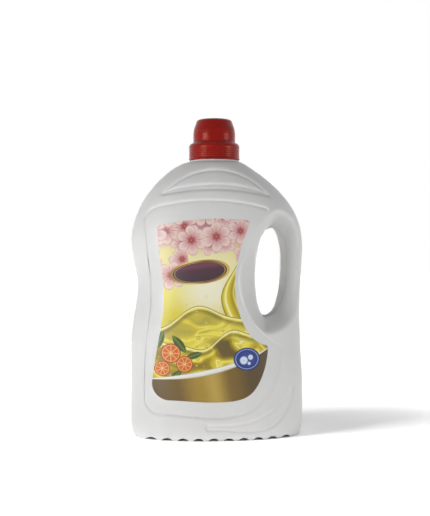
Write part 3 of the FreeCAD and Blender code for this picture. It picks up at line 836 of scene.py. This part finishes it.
def helix(name: str, radius: float, proud: float, start: float, turns: float, pitch: float) -> bpy.types.Object:
    """A thread ridge that winds up round the neck axis and fades out at both ends.

    Args:
        name: the piece's name.
        radius: the radius of the wall that carries it.
        proud: its height over the wall, below zero for a thread inside a wall.
        start: the height of its middle line at its lower end.
        turns: how many turns it makes.
        pitch: its rise for each turn.

    Returns:
        The thread as a closed mesh.
    """
    sign = 1 if proud > 0 else -1
    deselect()
    bpy.ops.mesh.primitive_plane_add(size=1.0, location=(0, 0, 0), rotation=(math.pi / 2, 0, 0))
    piece = bpy.context.object
    piece.name = piece.data.name = name
    bpy.ops.object.transform_apply(location=True, rotation=True, scale=True)
    for vertex in piece.data.vertices:
        outside = (vertex.co.x > 0) == (sign > 0)
        reach = radius + (proud if outside else -0.2 * sign)
        height = start + (0.7 if outside else 1.4) * math.copysign(1, vertex.co.z)
        vertex.co = Vector((reach, 0, height)) * MM
    screw = piece.modifiers.new("Wind", "SCREW")
    screw.angle = math.tau * turns
    screw.screw_offset = pitch * turns * MM
    screw.steps = screw.render_steps = int(72 * turns)
    activate(piece)
    bpy.ops.object.modifier_apply(modifier="Wind")
    fade = 0.12
    total = pitch * turns
    for vertex in piece.data.vertices:
        turn = math.atan2(vertex.co.y, vertex.co.x) % math.tau / math.tau
        middle = vertex.co.z / MM - start
        share = (round((middle / pitch) - turn) + turn) / turns
        ends = min(1.0, max(0.0, min(share, 1 - share)) / fade)
        distance = math.hypot(vertex.co.x, vertex.co.y)
        wall = (radius - 0.2 * sign) * MM
        wanted = wall + (distance - wall) * ends ** 0.5
        vertex.co.x *= wanted / distance
        vertex.co.y *= wanted / distance
    log.info("%s rises %.1f mm", name, total)
    activate(piece)
    bpy.ops.object.mode_set(mode="EDIT")
    bpy.ops.mesh.select_mode(type="VERT")
    bpy.ops.mesh.select_all(action="SELECT")
    bpy.ops.mesh.remove_doubles(threshold=0.01 * MM)
    bpy.ops.mesh.select_all(action="DESELECT")
    bpy.ops.mesh.select_non_manifold(extend=False)
    bpy.ops.mesh.fill()
    bpy.ops.mesh.select_all(action="SELECT")
    bpy.ops.mesh.normals_make_consistent(inside=False)
    bpy.ops.transform.translate(value=(NECK_X * MM, 0, 0))
    bpy.ops.object.mode_set(mode="OBJECT")
    smooth(piece, 40)
    return piece


@dataclass
class FrontLabel:
    """The printed film on the front panel."""

    longest: float = 3.0

    def outline(self, piece: bpy.types.Object) -> KDTree:
        """Points along the film's outline, each half a millimetre from the next or less.

        Args:
            piece: the joined film.

        Returns:
            The points in the plane of the front, in millimetres, ready to be searched.
        """
        mesh = piece.data
        facing: dict[tuple[int, int], list[Vector]] = {}
        for face in mesh.polygons:
            for key in face.edge_keys:
                facing.setdefault(key, []).append(face.normal)
        points = []
        for (a, b), normals in facing.items():
            if len(normals) == 2 and normals[0].dot(normals[1]) < 0.5:
                first, second = mesh.vertices[a].co / MM, mesh.vertices[b].co / MM
                count = max(1, math.ceil((second - first).length / 0.4))
                points += [first.lerp(second, i / count) for i in range(count + 1)]
        tree = KDTree(len(points))
        for index, point in enumerate(points):
            tree.insert((point.x, point.z, 0), index)
        tree.balance()
        log.info("label outline: %d points", len(points))
        return tree

    def mark_edge(self, piece: bpy.types.Object, tree: KDTree) -> None:
        """Writes each vertex's distance from the outline, in millimetres, as the attribute edge."""
        layer = piece.data.attributes.new("edge", "FLOAT", "POINT")
        layer.data.foreach_set("value", [tree.find((x, z, 0))[2] for x, z in corners(piece)[:, [0, 2]] / MM])

    def sheet(self, material: bpy.types.Material) -> bpy.types.Object:
        """The film, divided so that its margin is drawn evenly.

        Args:
            material: the printed film.

        Returns:
            The finished piece.
        """
        piece = merged_copy("front_label", "printed_label")
        tree = self.outline(piece)
        for _ in range(5):
            places, ends = corners(piece), edge_ends(piece)
            lengths = np.linalg.norm(places[ends[:, 0]] - places[ends[:, 1]], axis=1)
            picked = np.nonzero(lengths > self.longest * MM)[0]
            if not len(picked):
                break
            halve(piece, picked)
        self.mark_edge(piece, tree)
        smooth(piece, 40)
        finish_piece(piece, Ride.BOTTLE, Slot.LABEL, material)
        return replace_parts(piece, "front_label")


@dataclass
class PouringInsert:
    """The insert in the neck, with its slotted spout."""

    def moulding(self, material: bpy.types.Material) -> bpy.types.Object:
        """The insert with smooth walls.

        Args:
            material: the uncoloured plastic.

        Returns:
            The finished piece.
        """
        piece = merged_copy("pouring_insert", "insert_moulding")
        smooth(piece, 32)
        finish_piece(piece, Ride.BOTTLE, Slot.INSERT, material)
        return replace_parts(piece, "pouring_insert")


@dataclass
class DosingCap:
    """The red cap: a rippled ring with a thread inside, and the measuring cup above it."""

    ring_radius: float = 25.7
    foot: float = 277.6
    ledge: float = 294.8
    ring_round: float = 4.4
    ripple: float = 0.22
    ripples: int = 5
    cup_radius: float = 21.3
    shoulder_radius: float = 18.3
    top_radius: float = 14.2
    cup_side: float = 9.5
    taper: float = 11.7
    crown: float = 3.6
    steps: int = 144
    thread_turns: float = 1.3

    def outline(self) -> list[tuple[float, float]]:
        """The section of the cap as radius and height, from the middle of its top round to the inside.

        Returns:
            The points in order.
        """
        side_top = self.ledge + self.cup_side
        taper_top = side_top + self.taper
        top = taper_top + self.crown
        points = [(0.0, top + 0.38), (5.0, top + 0.36), (10.0, top + 0.22), (12.6, top + 0.05), (14.2, top - 0.25)]
        for i in range(1, 7):
            angle = math.radians(90 - 78 * i / 6)
            points.append((14.2 + 4.1 * math.cos(angle) * 1.02, taper_top - 0.2 + 3.5 * math.sin(angle)))
        for i in range(1, 9):
            share = i / 8
            bulge = 0.55 * math.sin(math.pi * share)
            radius = self.shoulder_radius + (self.cup_radius - self.shoulder_radius) * share ** 0.9 + bulge
            points.append((radius, taper_top - self.taper * share - 0.3 * (1 - share)))
        points += [(21.38, side_top - 0.8), (21.3, side_top - 2.4), (21.25, side_top - 5.5), (21.3, self.ledge + 1.9)]
        points += [(21.5, self.ledge + 0.9), (21.95, self.ledge + 0.35), (22.6, self.ledge + 0.02)]
        for i in range(1, 9):
            angle = math.radians(90 - 90 * i / 8)
            middle = (self.ring_radius - self.ring_round + 1.2, self.ledge - self.ring_round)
            points.append((middle[0] + (self.ring_round - 1.2) * math.cos(angle), middle[1] + self.ring_round * math.sin(angle)))
        start, end = self.ledge - self.ring_round - 0.4, self.foot + 1.9
        count = self.ripples * 6
        for i in range(1, count + 1):
            share = i / count
            wave = self.ripple * (0.5 - 0.5 * math.cos(math.tau * self.ripples * share))
            points.append((self.ring_radius - wave, start + (end - start) * share))
        points += [(25.75, self.foot + 1.3), (25.98, self.foot + 0.8), (26.08, self.foot + 0.4), (26.02, self.foot + 0.1)]
        points += [(25.8, self.foot), (24.6, self.foot), (24.35, self.foot + 0.2), (24.3, self.foot + 0.7)]
        points += [(24.3, 291.8), (23.4, 293.2), (20.25, 293.2), (20.25, 285.7), (20.1, 285.3), (19.75, 285.2)]
        points += [(19.2, 285.2), (19.0, 285.35), (18.95, 285.8), (18.95, 294.0), (18.8, 294.2), (18.8, 294.7)]
        points += [(18.95, 294.9), (18.95, 299.6), (18.8, 299.8), (18.8, 300.3), (18.95, 300.5), (18.95, 304.3)]
        points += [(18.55, 310.0), (16.7, 316.0), (15.6, 317.6), (14.0, 318.3), (7.0, 318.6), (0.0, 318.7)]
        return points

    def shell(self, material: bpy.types.Material) -> bpy.types.Object:
        """The cap, drawn as a chain of edges and spun about the neck axis.

        Args:
            material: the red plastic.

        Returns:
            The finished piece.
        """
        points = [Vector((radius, 0, height)) * MM for radius, height in self.outline()]
        deselect()
        bpy.ops.mesh.primitive_plane_add(size=2 * MM, location=points[0])
        piece = bpy.context.object
        piece.name = piece.data.name = "cap_shell"
        bpy.ops.object.transform_apply(location=True, rotation=True, scale=True)
        bpy.ops.object.mode_set(mode="EDIT")
        bpy.ops.mesh.select_mode(type="VERT")
        bpy.ops.mesh.select_all(action="SELECT")
        bpy.ops.mesh.merge(type="CENTER")
        for before, after in zip(points, points[1:]):
            bpy.ops.mesh.extrude_region_move(TRANSFORM_OT_translate={"value": after - before})
        bpy.ops.mesh.select_all(action="SELECT")
        bpy.ops.mesh.spin(steps=self.steps, angle=math.tau, center=(0, 0, 0), axis=(0, 0, 1), use_auto_merge=True)
        bpy.ops.mesh.select_all(action="SELECT")
        bpy.ops.mesh.remove_doubles(threshold=0.01 * MM)
        bpy.ops.mesh.normals_make_consistent(inside=False)
        bpy.ops.transform.translate(value=(NECK_X * MM, 0, 0))
        bpy.ops.object.mode_set(mode="OBJECT")
        smooth(piece, 38)
        finish_piece(piece, Ride.CAP, Slot.CAP, material)
        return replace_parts(piece, "dosing_cap")

    def thread(self, material: bpy.types.Material) -> bpy.types.Object:
        """The thread inside the ring, half a pitch away from the neck's.

        Args:
            material: the red plastic.

        Returns:
            The finished piece.
        """
        piece = helix("cap_thread", 24.3, -0.75, 281.0 - 2.2, self.thread_turns, 6.0)
        return finish_piece(piece, Ride.CAP, Slot.CAP, material)


@dataclass
class Studio:
    """The pale floor, the white surroundings, the lamps and the camera."""

    eye: tuple[float, float, float] = (-0.1664, -1.1682, 0.1787)
    yaw: float = 8.0
    lens: float = 80.87
    lamps: tuple = field(default_factory=lambda: (
        ("key_softbox", (-1.0, -0.62, 0.32), (0.5, 0.5), 5.2),
        ("right_softbox", (1.1, -0.60, 0.26), (0.5, 0.6), 3.7),
        ("back_softbox", (0.20, 1.3, 0.20), (0.9, 0.3), 3.6),
    ))
    floor_lamp: tuple = ("floor_softbox", (-0.66, -0.40, 1.04), (0.24, 0.24), 9.6)

    def lights(self, floor: bpy.types.Object) -> None:
        """Adds the lamps, each turned to the bottle, and one that lights the floor alone.

        Args:
            floor: the table, on which that last lamp draws the bottle's shadow.
        """
        for name, place, size, power in (*self.lamps, self.floor_lamp):
            deselect()
            bpy.ops.object.light_add(type="AREA", location=place)
            lamp = bpy.context.object
            lamp.name = name
            lamp.data.shape = "RECTANGLE"
            lamp.data.size, lamp.data.size_y = size
            lamp.data.energy = power
            lamp.rotation_euler = (Vector((0, 0, 0.16)) - Vector(place)).to_track_quat("-Z", "Y").to_euler()
        lit = bpy.data.collections.new("lit_by_floor_softbox")
        lit.objects.link(floor)
        lamp.light_linking.receiver_collection = lit

    def surroundings(self) -> None:
        """Soft even light from all round, which shows as plain white."""
        world = bpy.data.worlds.new("surroundings")
        bpy.context.scene.world = world
        world.use_nodes = True
        tree = world.node_tree
        tree.nodes.clear()
        output = tree.nodes.new("ShaderNodeOutputWorld")
        mix = tree.nodes.new("ShaderNodeMixShader")
        rays = tree.nodes.new("ShaderNodeLightPath")
        seen = self.any_ray(tree, rays)
        soft = tree.nodes.new("ShaderNodeBackground")
        soft.inputs["Color"].default_value = (1.0, 1.0, 1.0, 1.0)
        way = tree.nodes.new("ShaderNodeTexCoord")
        parts = tree.nodes.new("ShaderNodeSeparateXYZ")
        level = tree.nodes.new("ShaderNodeMapRange")
        for socket, value in zip(level.inputs[1:5], (0.0, 0.8, 0.39, 0.05)):
            socket.default_value = value
        tree.links.new(way.outputs["Generated"], parts.inputs[0])
        tree.links.new(parts.outputs["Z"], level.inputs[0])
        tree.links.new(level.outputs[0], soft.inputs["Strength"])
        white = tree.nodes.new("ShaderNodeBackground")
        white.inputs["Color"].default_value = (1.0, 1.0, 1.0, 1.0)
        white.inputs["Strength"].default_value = 1.0
        tree.links.new(seen, mix.inputs[0])
        tree.links.new(soft.outputs[0], mix.inputs[1])
        tree.links.new(white.outputs[0], mix.inputs[2])
        tree.links.new(mix.outputs[0], output.inputs[0])

    def any_ray(self, tree: bpy.types.NodeTree, rays: bpy.types.Node) -> bpy.types.NodeSocket:
        """One for a ray that is seen, mirrored or passed through, otherwise nought."""
        share = rays.outputs["Is Camera Ray"]
        for name in ("Is Glossy Ray", "Is Transmission Ray"):
            largest = tree.nodes.new("ShaderNodeMath")
            largest.operation = "MAXIMUM"
            tree.links.new(share, largest.inputs[0])
            tree.links.new(rays.outputs[name], largest.inputs[1])
            share = largest.outputs[0]
        return share

    def floor(self) -> bpy.types.Object:
        """The table, which keeps the soft shadow, has a painted contact shadow under and just round the bottle's foot,
        and fades to white away from the bottle.

        Returns:
            The floor.
        """
        deselect()
        bpy.ops.mesh.primitive_grid_add(x_subdivisions=24, y_subdivisions=24, size=24.0, location=(0, 0, 0))
        piece = bpy.context.object
        piece.name = piece.data.name = "studio_floor"
        g = Graph("studio_floor")
        g.shader.inputs["Base Color"].default_value = (0.9, 0.9, 0.9, 1.0)
        g.shader.inputs["Roughness"].default_value = 0.9
        g.shader.inputs["Specular IOR Level"].default_value = 0.1
        rays = g.node("ShaderNodeLightPath")
        seen = self.any_ray(g.tree, rays)
        glow = g.step(g.vector("LENGTH", g.place), 0.13, 0.50, 0.36, 1.0)
        # painted contact shadow: the floor's glow is switched off inside an ellipse the size of the bottle's
        # footprint, so the floor looks dark under the foot and between its flutes
        foot = g.vector("LENGTH", g.vector("MULTIPLY", g.place, (1 / 0.086, 1 / 0.052, 0.0)))
        glow = g.math("MULTIPLY", glow, g.step(foot, 0.94, 1.04))
        lift = g.node("ShaderNodeEmission")
        g.put(lift.inputs["Color"], (1.0, 1.0, 1.0, 1.0))
        g.put(lift.inputs["Strength"], g.math("MULTIPLY", glow, seen))
        matt = g.node("ShaderNodeAddShader")
        g.tree.links.new(g.shader.outputs[0], matt.inputs[0])
        g.tree.links.new(lift.outputs[0], matt.inputs[1])
        output = next(n for n in g.tree.nodes if n.type == "OUTPUT_MATERIAL")
        g.tree.links.new(matt.outputs[0], output.inputs["Surface"])
        piece.data.materials.append(g.material)
        return piece

    def camera(self) -> bpy.types.Object:
        """The camera at the photograph's place.

        Returns:
            The camera.
        """
        deselect()
        bpy.ops.object.camera_add(location=self.eye, rotation=(math.pi / 2, 0, -math.radians(self.yaw)))
        eye = bpy.context.object
        eye.data.lens = self.lens
        eye.data.sensor_width = 36.0
        bpy.context.scene.camera = eye
        return eye

    def build(self) -> None:
        """Sets the whole studio up."""
        bpy.context.scene.view_settings.view_transform = "Standard"
        self.surroundings()
        self.lights(self.floor())
        self.camera()


def main() -> None:
    """Builds every piece in order."""
    logging.basicConfig(level=logging.INFO, format="%(message)s")
    plastic = SatinPolyethylene().material()
    red = GlossyRed().material()
    body, cap = BottleBody(), DosingCap()
    pieces = [
        body.shell(plastic),
        body.thread(plastic),
        FrontLabel().sheet(PrintedFilm().material()),
        PouringInsert().moulding(NaturalMoulding().material()),
        cap.shell(red),
        cap.thread(red),
    ]
    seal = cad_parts["cap_seal"]
    seal.data.materials.clear()
    seal.data.materials.append(ClosedCellFoam().material())
    for piece in pieces:
        log.info("%s: %d faces", piece.name, len(piece.data.polygons))
    Studio().build()


if __name__ == "__main__":
    main()
